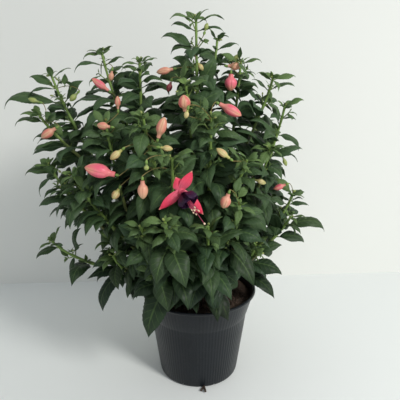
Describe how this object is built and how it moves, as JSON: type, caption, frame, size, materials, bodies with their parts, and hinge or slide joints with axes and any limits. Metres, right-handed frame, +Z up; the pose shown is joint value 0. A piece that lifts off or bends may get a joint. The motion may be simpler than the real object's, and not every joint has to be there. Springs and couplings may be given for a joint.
{
  "type": "potted fuchsia",
  "caption": "Bushy fuchsia in a flared dark plastic nursery pot: branched leafy stems with hanging pink buds and an open flower, rooted in compost.",
  "frame": {"origin": "middle of the pot's underside, on the surface it stands on", "axes": "+Z up; -Y towards the plant's front, where the open flower is; +X to the right as seen from the front"},
  "size_m": [0.4934, 0.3895, 0.5813],
  "materials": {
    "pot": "satin",
    "compost": "matte",
    "leaf": "satin",
    "bud_coral": "satin",
    "bud_peach": "satin",
    "bud_cream": "satin",
    "bud_red": "satin",
    "sepals": "satin",
    "corolla": "matte",
    "stamens": "satin"
  },
  "bodies": {
    "root": {"pot": "pot", "compost": "compost", "stem_crown": "leaf", "stem_right_top": "leaf", "stem_right_side": "leaf", "stem_right_low": "leaf", "stem_left_top": "leaf", "stem_left_high": "leaf", "stem_left_mid": "leaf", "stem_left_low": "leaf", "stem_front_left": "leaf", "stem_front_mid": "leaf", "stem_front_low": "leaf", "stem_front_right": "leaf", "stem_front_right_low": "leaf", "stem_back_left": "leaf", "stem_back_mid": "leaf", "stem_back_right": "leaf", "bud_rose": "bud_coral", "bud_front_left": "bud_peach", "bud_shade": "bud_cream", "bud_cream_left": "bud_cream", "bud_upright": "bud_peach", "bud_facing": "bud_peach", "bud_small": "bud_cream", "bud_tan": "bud_peach", "bud_deep": "bud_red", "bud_dusty": "bud_coral", "bud_slim": "bud_peach", "bud_brown": "bud_peach", "bud_left": "bud_peach", "bud_inner": "bud_peach", "bud_right_top": "bud_peach", "bud_opening": "bud_coral", "bud_coral": "bud_coral", "bud_cream_right": "bud_cream", "bud_high": "bud_cream", "bud_salmon": "bud_coral", "bud_yellow": "bud_cream", "bud_front_right": "bud_peach", "bud_centre": "bud_cream", "flower_sepals": "sepals", "flower_corolla": "corolla", "flower_stamens": "stamens"}
  },
  "joints": []
}
